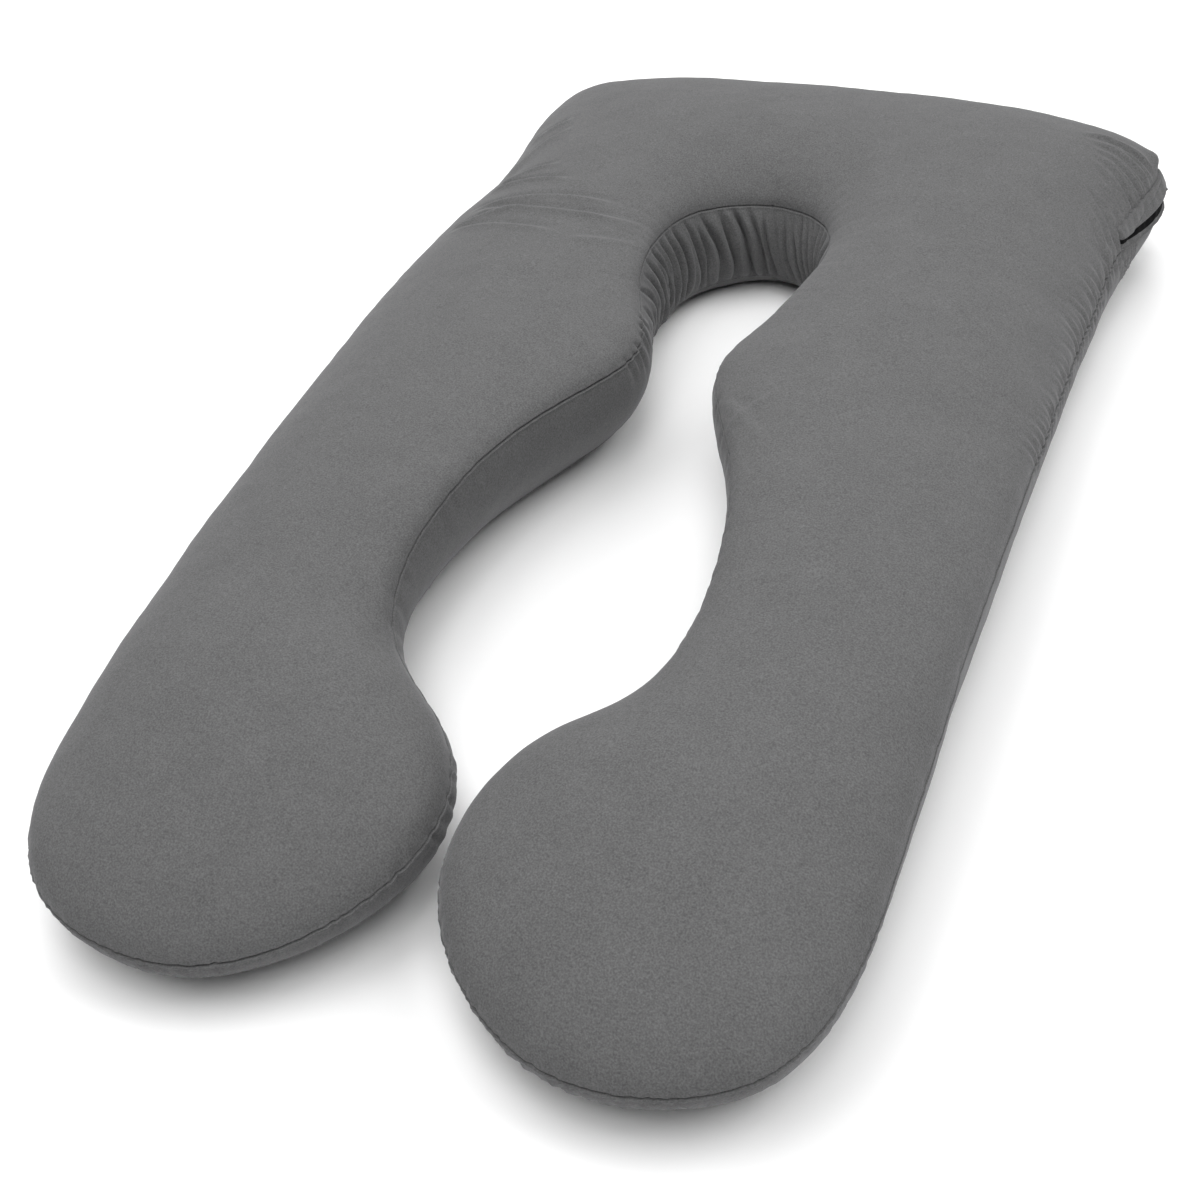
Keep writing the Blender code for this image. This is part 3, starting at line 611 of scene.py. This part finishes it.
def seam_rise(v, strength):
    """Height beside a seam at signed distances v above it."""
    groove = -SEAM_GROOVE * np.exp(-(v / SEAM_WIDTH) ** 2)
    below = SEAM_ROLL * np.exp(-((v + SEAM_ROLL_AWAY) / SEAM_ROLL_WIDTH) ** 2)
    above = UPPER_ROLL * np.exp(-((v - SEAM_ROLL_AWAY) / SEAM_ROLL_WIDTH) ** 2)
    return strength * (groove + below + above)


# ---- the opening, in distances above (+) and below (-) the top seam ----
OPENING_BEFORE = 0.096       # from the upper side's place round to the head corner
OPENING_AFTER = 0.068        # and towards the feet
# Borders of each band at its end towards the feet, its middle and its other end.
Band = namedtuple("Band", "piece node upper lower lift flare hem")
BANDS = (
    Band("opening_flap_hem", "opening_flap", (0.0262, 0.0127, 0.0020),
         (0.0125, -0.0090, -0.0158), 0.0010, 0.0040, 0.0002),
    Band("zip_tape", "zip_strip", (0.0140, -0.0080, -0.0185),
         (0.0075, -0.0200, -0.0340), 0.0004, 0.0004, 0.0),
    Band("opening_facing_fold", "opening_facing", (0.0100, -0.0172, -0.0290),
         (-0.0025, -0.0245, -0.0390), 0.0006, 0.0028, 0.0016),
)


def opening_share(edge, s):
    """0 at the end towards the feet to 1 at the end round the head corner."""
    from_side = edge.from_place(s, "upper side")
    return (OPENING_AFTER - from_side) / (OPENING_BEFORE + OPENING_AFTER)


def border(values, share):
    """Smooth curve through a band's three values."""
    first, middle, last = values
    bow = 2 * (first + last - 2 * middle)
    return first + (last - first) * share + bow * share * (share - 1)


def sample(surface, values, v):
    """Values of the grid at distances v from the top seam, one for each column."""
    found = np.empty((len(v), 3))
    for i, column in enumerate(v):
        j, distance = column
        for k in range(3):
            found[i, k] = np.interp(distance, surface.v[:, j], values[:, j, k])
    return found


def grid_normals(grid):
    """Outward directions of the grid's points."""
    along = np.roll(grid, -1, axis=1) - np.roll(grid, 1, axis=1)
    up = np.empty_like(grid)
    up[1:-1] = grid[2:] - grid[:-2]
    up[0] = grid[1] - grid[0]
    up[-1] = grid[-1] - grid[-2]
    out = np.cross(up, along)
    return out / np.linalg.norm(out, axis=2, keepdims=True)


# ---- relief of the whole cover ----------------------------
SWELL = (0.0016, 0.085)      # height and size of the filling's soft lumps
PUCKER = (0.0005, 0.022)     # and of the cloth's small ones
HOLLOW = 0.0030              # how far the cover lies back under the opening's bands
HOLLOW_EDGE = 0.006
HOLLOW_ENDS = 0.010
WAVER = (0.0006, 0.018)      # height and size of a seam's wander
UNEVEN_SEAM = (0.35, 0.045)  # share and size of a seam's unevenness
BOTTOM_SEAM_STRENGTH = 0.8
FAN_DOWN = 0.012             # how far the fan runs on down the side
REST_FADE = 0.010            # height over which relief begins above the floor
# The panel's corner puffs out over the end of the flap.
CORNER = (-0.086, 0.0185)    # its middle, from the upper side's place and the top seam
CORNER_SIZE = (0.016, 0.008)
CORNER_RISE = 0.0062
NOTCH = (-0.088, 0.0085)     # the dip between that corner and the flap
NOTCH_SIZE = (0.014, 0.0038)
NOTCH_DEPTH = 0.0020


def mound(edge, s, v, place, size):
    """1 at a place beside the opening, falling to 0 over a size."""
    along = edge.from_place(s, "upper side") - place[0]
    return np.exp(-(along / size[0]) ** 2 - ((v - place[1]) / size[1]) ** 2)


def corner_rise(edge, s, v):
    bump = CORNER_RISE * mound(edge, s, v, CORNER, CORNER_SIZE)
    return bump - NOTCH_DEPTH * mound(edge, s, v, NOTCH, NOTCH_SIZE)


def soft_lumps(points):
    height = SWELL[0] * patches(points, SWELL[1], 1)
    return height + PUCKER[0] * patches(points, PUCKER[1], 2)


def covered(surface):
    """1 under the opening's bands, 0 away from them."""
    share = opening_share(surface.edge, surface.s)
    upper = border(BANDS[0].upper, share)
    lower = border(BANDS[-1].lower, share)
    inside = np.minimum(upper - surface.v, surface.v - lower) / HOLLOW_EDGE
    ends = np.minimum(share, 1 - share) * (OPENING_BEFORE + OPENING_AFTER) / HOLLOW_ENDS
    return smooth(inside) * smooth(ends)


def dressed(surface):
    """The grid with its seams, gathers, pinches, creases and lumps."""
    edge, s, v = surface.edge, surface.s, surface.v
    normal = grid_normals(surface.grid)
    ring = np.column_stack([s, np.zeros(len(s)), np.zeros(len(s))])
    waver = WAVER[0] * patches(ring, WAVER[1], 3)
    strength = 1 + UNEVEN_SEAM[0] * patches(ring, UNEVEN_SEAM[1], 4)
    at_neck = smooth((NECK_REACH - np.abs(edge.from_place(s, "neck middle"))) / NECK_FADE)
    rise = seam_rise(v + waver, strength * (1 - NECK_FINER * at_neck))
    rise += seam_rise(-v - surface.side_length, BOTTOM_SEAM_STRENGTH)
    down = -v / surface.side_length
    rise += gather_rise(edge, s, np.where((down >= 0) & (down <= 1), down, 0))
    free = 1 - covered(surface)
    fine = pinch_rise(edge, s, v)
    plan = surface.grid[..., :2] + MIDDLE
    fan = crease_rise(plan, HEAD_CREASES + fan_between())
    fan = fan * np.where(v >= 0, 1, np.exp(-(v / FAN_DOWN) ** 2))
    from_side = np.broadcast_to(edge.from_place(s, "upper side"), v.shape)
    fine = fine + crease_rise(np.stack([from_side, v], axis=-1), SIDE_CREASES)
    fine = fine + corner_rise(edge, s, v)
    rise = (rise + fine + fan + soft_lumps(surface.grid)) * free
    rise -= HOLLOW * (1 - free)
    rise *= smooth(surface.grid[..., 2] / REST_FADE)
    return surface.grid + normal * rise[..., None]


# ---- meshes -----------------------------------------------
def points_inside(outline, step, margin):
    """Plan points on a staggered grid inside a closed outline."""
    low, high = outline.min(0), outline.max(0)
    after = np.roll(outline, -1, 0)
    row_step = step * math.sqrt(3) / 2
    found = []
    for j in range(int((high[1] - low[1]) / row_step) + 1):
        y = low[1] + j * row_step
        crosses = (outline[:, 1] > y) != (after[:, 1] > y)
        a, b = outline[crosses], after[crosses]
        meets = a[:, 0] + (y - a[:, 1]) / (b[:, 1] - a[:, 1]) * (b[:, 0] - a[:, 0])
        x = low[0] + (np.arange(int((high[0] - low[0]) / step) + 2) + 0.5 * (j % 2)) * step
        inside = (meets[None] > x[:, None]).sum(1) % 2 == 1
        x = x[inside]
        gap = [np.linalg.norm(outline - (value, y), axis=1).min() for value in x]
        found += [(value, y) for value, d in zip(x, gap) if d > margin]
    return np.array(found)


def fill_faces(outline, inner):
    """Triangles through a closed outline and the points inside it."""
    count = len(outline)
    border = [(i, (i + 1) % count) for i in range(count)]
    plan = [Vector(p) for p in np.vstack([outline, inner])]
    inside_only = 1
    same = 1e-7
    result = delaunay_2d_cdt(plan, border, [], inside_only, same)
    origins = result[3]
    return [[origins[i][0] for i in face] for face in result[2]]


def triangle_normals(points, faces):
    corners = points[np.array(faces)]
    each = np.cross(corners[:, 1] - corners[:, 0], corners[:, 2] - corners[:, 0])
    total = np.zeros_like(points)
    for k in range(3):
        np.add.at(total, np.array(faces)[:, k], each)
    return total / np.linalg.norm(total, axis=1, keepdims=True)


def strip_faces(first, last, count):
    """Quads between neighbouring rows of a ring-shaped grid, counted from row first."""
    faces = []
    for r in range(last - first):
        low, high = r * count, (r + 1) * count
        faces += [(low + i, high + i, high + (i + 1) % count, low + (i + 1) % count)
                  for i in range(count)]
    return faces


def add_mesh(name, points, faces, material):
    mesh = bpy.data.meshes.new(name)
    mesh.from_pydata([tuple(p) for p in points], [], faces)
    mesh.polygons.foreach_set("use_smooth", [True] * len(mesh.polygons))
    mesh.materials.append(material)
    mesh.update()
    piece = bpy.data.objects.new(name, mesh)
    bpy.context.scene.collection.objects.link(piece)
    return piece


def make_cover(surface, grid, material):
    count = len(surface.s)
    faces = strip_faces(surface.bottom, surface.top, count)
    side = add_mesh("side_strip", grid[surface.bottom:surface.top + 1].reshape(-1, 3),
                    faces, material)
    inner_plan = surface.grid[-1][:, :2]
    margin = MARGIN * PANEL_STEP
    plain = points_inside(inner_plan, PANEL_STEP, margin)
    close = points_inside(inner_plan, CREASED_STEP, margin)
    inner = np.vstack([plain[~is_creased(plain + MIDDLE)], close[is_creased(close + MIDDLE)]])
    inner_points = np.column_stack([inner, crown(inner, surface.edge)])
    base = np.vstack([surface.grid[-1], inner_points])
    faces = fill_faces(inner_plan, inner)
    normal = triangle_normals(base, faces)[count:]
    plan = inner + MIDDLE
    rise = soft_lumps(inner_points) + crease_rise(plan, HEAD_CREASES + fan_between())
    inner_points = inner_points + normal * rise[:, None]
    ring_points = grid[surface.top:].reshape(-1, 3)
    offset = len(ring_points) - count
    faces = strip_faces(surface.top, len(grid) - 1, count) + [
        tuple(i + offset for i in face) for face in faces]
    top = add_mesh("top_panel", np.vstack([ring_points, inner_points]), faces, material)
    under_plan = surface.grid[0][:, :2]
    under = points_inside(under_plan, UNDER_STEP, MARGIN * UNDER_STEP)
    under_faces = [tuple(reversed(face)) for face in fill_faces(under_plan, under)]
    rows = grid[:surface.bottom + 1]
    shift = [tuple(i if i < count else i + rows.shape[0] * count - count for i in face)
             for face in under_faces]
    points = np.vstack([rows.reshape(-1, 3), np.column_stack([under, np.zeros(len(under))])])
    bottom = add_mesh("bottom_panel", points, strip_faces(0, surface.bottom, count) + shift,
                      material)
    return top, side, bottom


# ---- the opening's bands ----------------------------------
BAND_ROWS = 28
BAND_THICK = 0.0026
BAND_END = 0.007             # over which a band's end sinks into the cover
TUCK = 0.005                 # how far a band's upper border goes into the cover
HEM_AT = 0.90                # of a band's roll, as a share of the way across
HEM_WIDE = 0.06
FLARE_AT_FEET = 0.35         # share of a band's flare at its end towards the feet
PUFF_ACROSS = 0.16           # share of the way across by which a band is at full thickness
FACING_THIN = 0.7            # of a band's thickness, for the facing
FOLD_TURNS = (35, 70, 110, 145, 180)     # degrees round a band's lower fold
FOLD_OUT = 0.045             # how far that fold stands out, as a share of the way across
UNDERSIDE = (0.92, 0.8, 0.6, 0.35)       # places on a band's underside
# Waves along a band: height, turns over its length in radians, and start.
WRINKLES = ((0.0006, 23, 0), (0.0004, 61, 1))


def band_section(row, share, wrinkle):
    """(distance across, lift) pairs from a band's upper border over its face and under it."""
    lift_end = row.lift + row.flare * (FLARE_AT_FEET + (1 - FLARE_AT_FEET) * share)
    section = [(0.0, -TUCK)]
    for j in range(BAND_ROWS + 1):
        across = j / BAND_ROWS
        rise = row.lift + (lift_end - row.lift) * across ** 1.5
        short = 1 - min(across, PUFF_ACROSS) / PUFF_ACROSS
        puff = BAND_THICK * math.sqrt(max(0.0, 1 - short ** 2))
        if row.node == "opening_facing":
            puff = BAND_THICK * FACING_THIN
        roll = row.hem * math.exp(-((across - HEM_AT) / HEM_WIDE) ** 2)
        section.append((across, rise + puff + roll + wrinkle * math.sin(math.pi * across)))
    edge_lift = section[-1][1]
    for turn in FOLD_TURNS:
        a = math.radians(turn)
        lift = edge_lift - BAND_THICK / 2 * (1 - math.cos(a))
        section.append((1 + FOLD_OUT * math.sin(a), lift))
    for across in UNDERSIDE:
        section.append((across, edge_lift * across - BAND_THICK * across))
    return section


def make_band(surface, normal, row, material):
    share = opening_share(surface.edge, surface.s)
    chosen = np.nonzero((share >= 0) & (share <= 1))[0]
    lines = []
    length = OPENING_BEFORE + OPENING_AFTER
    for j in chosen:
        k = share[j]
        upper = border(row.upper, k)
        lower = border(row.lower, k)
        near_end = min(k, 1 - k) * length / BAND_END
        height = row.lift + row.flare + row.hem + 2 * BAND_THICK
        sink = height * (1 - float(smooth(near_end)))
        wrinkle = sum(size * math.sin(k * turns + start) for size, turns, start in WRINKLES)
        section = band_section(row, k, wrinkle)
        places = [(j, upper + (lower - upper) * across) for across, _ in section]
        lift = np.array([value for _, value in section]) - sink
        point = sample(surface, surface.grid, places)
        out = sample(surface, normal, places)
        lines.append(point + out * lift[:, None])
    across = len(lines[0])
    faces = []
    for i in range(len(lines) - 1):
        for j in range(across - 1):
            a = i * across + j
            faces.append((a, a + 1, a + across + 1, a + across))
    return add_mesh(row.piece, np.vstack(lines), faces, material)


TEETH_PITCH = 0.0022
TEETH_END = 0.03             # share of the opening that is bare of teeth at each end
TOOTH = (0.0011, 0.0042, 0.0012)     # along, across and thick
TOOTH_SIDES = 8
TOOTH_LIFT = 0.0016
TOOTH_ASIDE = 0.0007         # of the zip's middle, to either side in turn
TOOTH_AHEAD = 0.001          # along the zip, over which its direction is taken


def make_teeth(surface, normal, material):
    """Teeth of the zip, in a row along the tape's middle."""
    row = BANDS[1]
    share = opening_share(surface.edge, surface.s)
    chosen = np.nonzero((share >= TEETH_END) & (share <= 1 - TEETH_END))[0]
    path, out = [], []
    for j in chosen:
        k = share[j]
        upper = border(row.upper, k)
        lower = border(row.lower, k)
        places = [(j, upper + (lower - upper) * 0.5)]
        path.append(sample(surface, surface.grid, places)[0])
        out.append(sample(surface, normal, places)[0])
    path, out = np.array(path), np.array(out)
    along = np.concatenate([[0], np.cumsum(np.linalg.norm(np.diff(path, axis=0), axis=1))])
    points, faces = [], []
    for i in range(int(along[-1] / TEETH_PITCH)):
        at = (i + 0.5) * TEETH_PITCH
        middle = np.array([np.interp(at, along, path[:, k]) for k in range(3)])
        away = np.array([np.interp(at, along, out[:, k]) for k in range(3)])
        next_to = np.array([np.interp(at + TOOTH_AHEAD, along, path[:, k]) for k in range(3)])
        way = (next_to - middle) / np.linalg.norm(next_to - middle)
        away -= way * (away @ way)
        away /= np.linalg.norm(away)
        across = np.cross(away, way)
        side = TOOTH_ASIDE if i % 2 else -TOOTH_ASIDE
        centre = middle + away * TOOTH_LIFT + across * side
        start = len(points)
        for turn in range(TOOTH_SIDES):
            a = 2 * math.pi * (turn + 0.5) / TOOTH_SIDES
            offset = across * TOOTH[1] / 2 * math.cos(a) + away * TOOTH[2] / 2 * math.sin(a)
            points.append(centre + offset - way * TOOTH[0] / 2)
            points.append(centre + offset + way * TOOTH[0] / 2)
        ring = 2 * TOOTH_SIDES
        faces += [(start + 2 * t, start + 2 * t + 1, start + (2 * t + 3) % ring,
                   start + (2 * t + 2) % ring) for t in range(TOOTH_SIDES)]
        faces.append([start + 2 * t for t in range(TOOTH_SIDES)])
        faces.append([start + 2 * t + 1 for t in reversed(range(TOOTH_SIDES))])
    return add_mesh("zip_teeth", points, faces, material)


# ---- materials --------------------------------------------
def base_material(name, roughness):
    material = bpy.data.materials.new(name)
    material.use_nodes = True
    shader = material.node_tree.nodes["Principled BSDF"]
    shader.inputs["Roughness"].default_value = roughness
    return material, material.node_tree.nodes, material.node_tree.links, shader


def noise_node(nodes, links, where, scale, detail):
    node = nodes.new("ShaderNodeTexNoise")
    node.inputs["Scale"].default_value = scale
    node.inputs["Detail"].default_value = detail
    links.new(where, node.inputs["Vector"])
    return node.outputs["Fac"]


def scaled(nodes, links, value, factor, offset):
    node = nodes.new("ShaderNodeMath")
    node.operation = "MULTIPLY_ADD"
    links.new(value, node.inputs[0])
    node.inputs[1].default_value = factor
    node.inputs[2].default_value = offset
    return node.outputs[0]


def combined(nodes, links, kind, a, b):
    node = nodes.new("ShaderNodeMath")
    node.operation = kind
    links.new(a, node.inputs[0])
    links.new(b, node.inputs[1])
    return node.outputs[0]


def tinted(nodes, links, shader, color, shade):
    """Base colour: the color times an uneven shade."""
    tint = nodes.new("ShaderNodeMix")
    tint.data_type = "RGBA"
    tint.blend_type = "MULTIPLY"
    tint.inputs["Factor"].default_value = 1.0
    tint.inputs["A"].default_value = (*color, 1)
    links.new(shade, tint.inputs["B"])
    links.new(tint.outputs["Result"], shader.inputs["Base Color"])


def bumped(nodes, links, shader, height, strength, distance):
    bump = nodes.new("ShaderNodeBump")
    bump.inputs["Strength"].default_value = strength
    bump.inputs["Distance"].default_value = distance
    links.new(height, bump.inputs["Height"])
    links.new(bump.outputs["Normal"], shader.inputs["Normal"])


NAP_SCALE = 640              # of the short pile, per metre
MOTTLE_SCALE = 170
PATCH_SCALE = 22
RIB_SCALE = 900
GRAIN_SCALE = 700


def velvet(name, color):
    """Short brushed pile: fine mottled nap, soft light and dark patches and a faint sheen."""
    material, nodes, links, shader = base_material(name, 0.92)
    where = nodes.new("ShaderNodeTexCoord").outputs["Object"]
    pile = noise_node(nodes, links, where, NAP_SCALE, 3.0)
    mottle = noise_node(nodes, links, where, MOTTLE_SCALE, 3.0)
    patch = noise_node(nodes, links, where, PATCH_SCALE, 2.0)
    shade = scaled(nodes, links, pile, 1.30, -0.65)
    shade = combined(nodes, links, "ADD", shade, scaled(nodes, links, mottle, 0.22, -0.11))
    shade = combined(nodes, links, "ADD", shade, scaled(nodes, links, patch, 0.16, 0.92))
    tinted(nodes, links, shader, color, shade)
    height = combined(nodes, links, "ADD", scaled(nodes, links, pile, 0.6, 0),
                      scaled(nodes, links, mottle, 0.5, 0))
    bumped(nodes, links, shader, height, 0.35, 0.0010)
    shader.inputs["Specular IOR Level"].default_value = 0.15
    shader.inputs["Sheen Weight"].default_value = 0.20
    shader.inputs["Sheen Roughness"].default_value = 0.45
    shader.inputs["Sheen Tint"].default_value = (0.8, 0.8, 0.82, 1)
    return material


def tape(name, color):
    """Woven zip tape: fine ribs across its length."""
    material, nodes, links, shader = base_material(name, 0.85)
    shader.inputs["Specular IOR Level"].default_value = 0.05
    where = nodes.new("ShaderNodeTexCoord").outputs["Object"]
    rib = noise_node(nodes, links, where, RIB_SCALE, 1.0)
    shade = scaled(nodes, links, rib, 0.5, 0.75)
    tinted(nodes, links, shader, color, shade)
    bumped(nodes, links, shader, rib, 0.4, 0.0004)
    return material


def plastic(name, color):
    """Dull black plastic with a fine uneven gloss."""
    material, nodes, links, shader = base_material(name, 0.45)
    shader.inputs["Specular IOR Level"].default_value = 0.2
    where = nodes.new("ShaderNodeTexCoord").outputs["Object"]
    grain = noise_node(nodes, links, where, GRAIN_SCALE, 2.0)
    shade = scaled(nodes, links, grain, 0.4, 0.8)
    tinted(nodes, links, shader, color, shade)
    links.new(scaled(nodes, links, grain, 0.2, 0.35), shader.inputs["Roughness"])
    return material


# ---- floor and light --------------------------------------
FLOOR_COLOR = (0.95, 0.95, 0.95)
FLOOR_HALF = 12.0
LIGHT_SIZE = 4.0
LIGHT_AWAY = 6.4
# Soft round lights above the object; azimuth is clockwise from +Y.
Light = namedtuple("Light", "name azimuth elevation power")
LIGHTS = (
    Light("overhead", 0, 90, 150),
    Light("back_low", 340, 28, 180),
    Light("right", 75, 50, 140),
    Light("front_right", 150, 60, 170),
    Light("front_left", 236, 58, 88),
    Light("back_left", 300, 60, 84),
)


def make_floor():
    mesh = bpy.data.meshes.new("floor")
    half = FLOOR_HALF
    mesh.from_pydata([(-half, -half, 0), (half, -half, 0), (half, half, 0), (-half, half, 0)],
                     [], [(0, 1, 2, 3)])
    floor = bpy.data.objects.new("floor", mesh)
    material, _, _, shader = base_material("floor_paper", 0.9)
    shader.inputs["Base Color"].default_value = (*FLOOR_COLOR, 1)
    shader.inputs["Specular IOR Level"].default_value = 0.0
    mesh.materials.append(material)
    bpy.context.scene.collection.objects.link(floor)


def make_light():
    world = bpy.data.worlds.new("studio")
    world.use_nodes = True
    world.node_tree.nodes["Background"].inputs["Strength"].default_value = 0.0
    bpy.context.scene.world = world
    for row in LIGHTS:
        around, above = math.radians(row.azimuth), math.radians(row.elevation)
        way = Vector((math.sin(around) * math.cos(above), math.cos(around) * math.cos(above),
                      math.sin(above)))
        data = bpy.data.lights.new(row.name, "AREA")
        data.shape = "DISK"
        data.size = LIGHT_SIZE
        data.energy = row.power
        light = bpy.data.objects.new(row.name, data)
        light.location = way * LIGHT_AWAY
        light.rotation_euler = (-way).to_track_quat("-Z", "Y").to_euler()
        bpy.context.scene.collection.objects.link(light)


# ---- the scene --------------------------------------------
VELVET = (0.115, 0.115, 0.116)
VELVET_HEM = (0.112, 0.112, 0.113)
# The zip tape is black, and made darker still: its colour also paints the shade that fills the narrow
# slit of the opening.
ZIP_BLACK_AND_SLIT_SHADE = (0.005, 0.005, 0.0055)
PULL_BLACK = (0.006, 0.006, 0.0065)

edge = SewnEdge()
surface = Surface(edge)
base_normal = grid_normals(surface.grid)
grid = dressed(surface)
cloth = velvet("velvet", VELVET)
hem = velvet("velvet_hem", VELVET_HEM)
# Black zip tape whose colour carries painted shade of the slit it lies in.
black_tape_and_slit_shade = tape("zip_tape", ZIP_BLACK_AND_SLIT_SHADE)
black_plastic = plastic("zip_plastic", PULL_BLACK)
for piece in make_cover(surface, grid, cloth):
    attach(piece, "root")
    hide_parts("pillow")
for row, finish, slot in zip(BANDS, (hem, black_tape_and_slit_shade, hem), ("velvet_hem", "zip_tape", "velvet_hem")):
    piece = make_band(surface, base_normal, row, finish)
    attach(piece, "root")
    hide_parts(row.node)
teeth = make_teeth(surface, base_normal, black_plastic)
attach(teeth, "root")
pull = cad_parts["zip_pull"]
pull.data.materials.clear()
pull.data.materials.append(black_plastic)
make_floor()
make_light()
make_camera()
bpy.context.scene.view_settings.view_transform = "Standard"
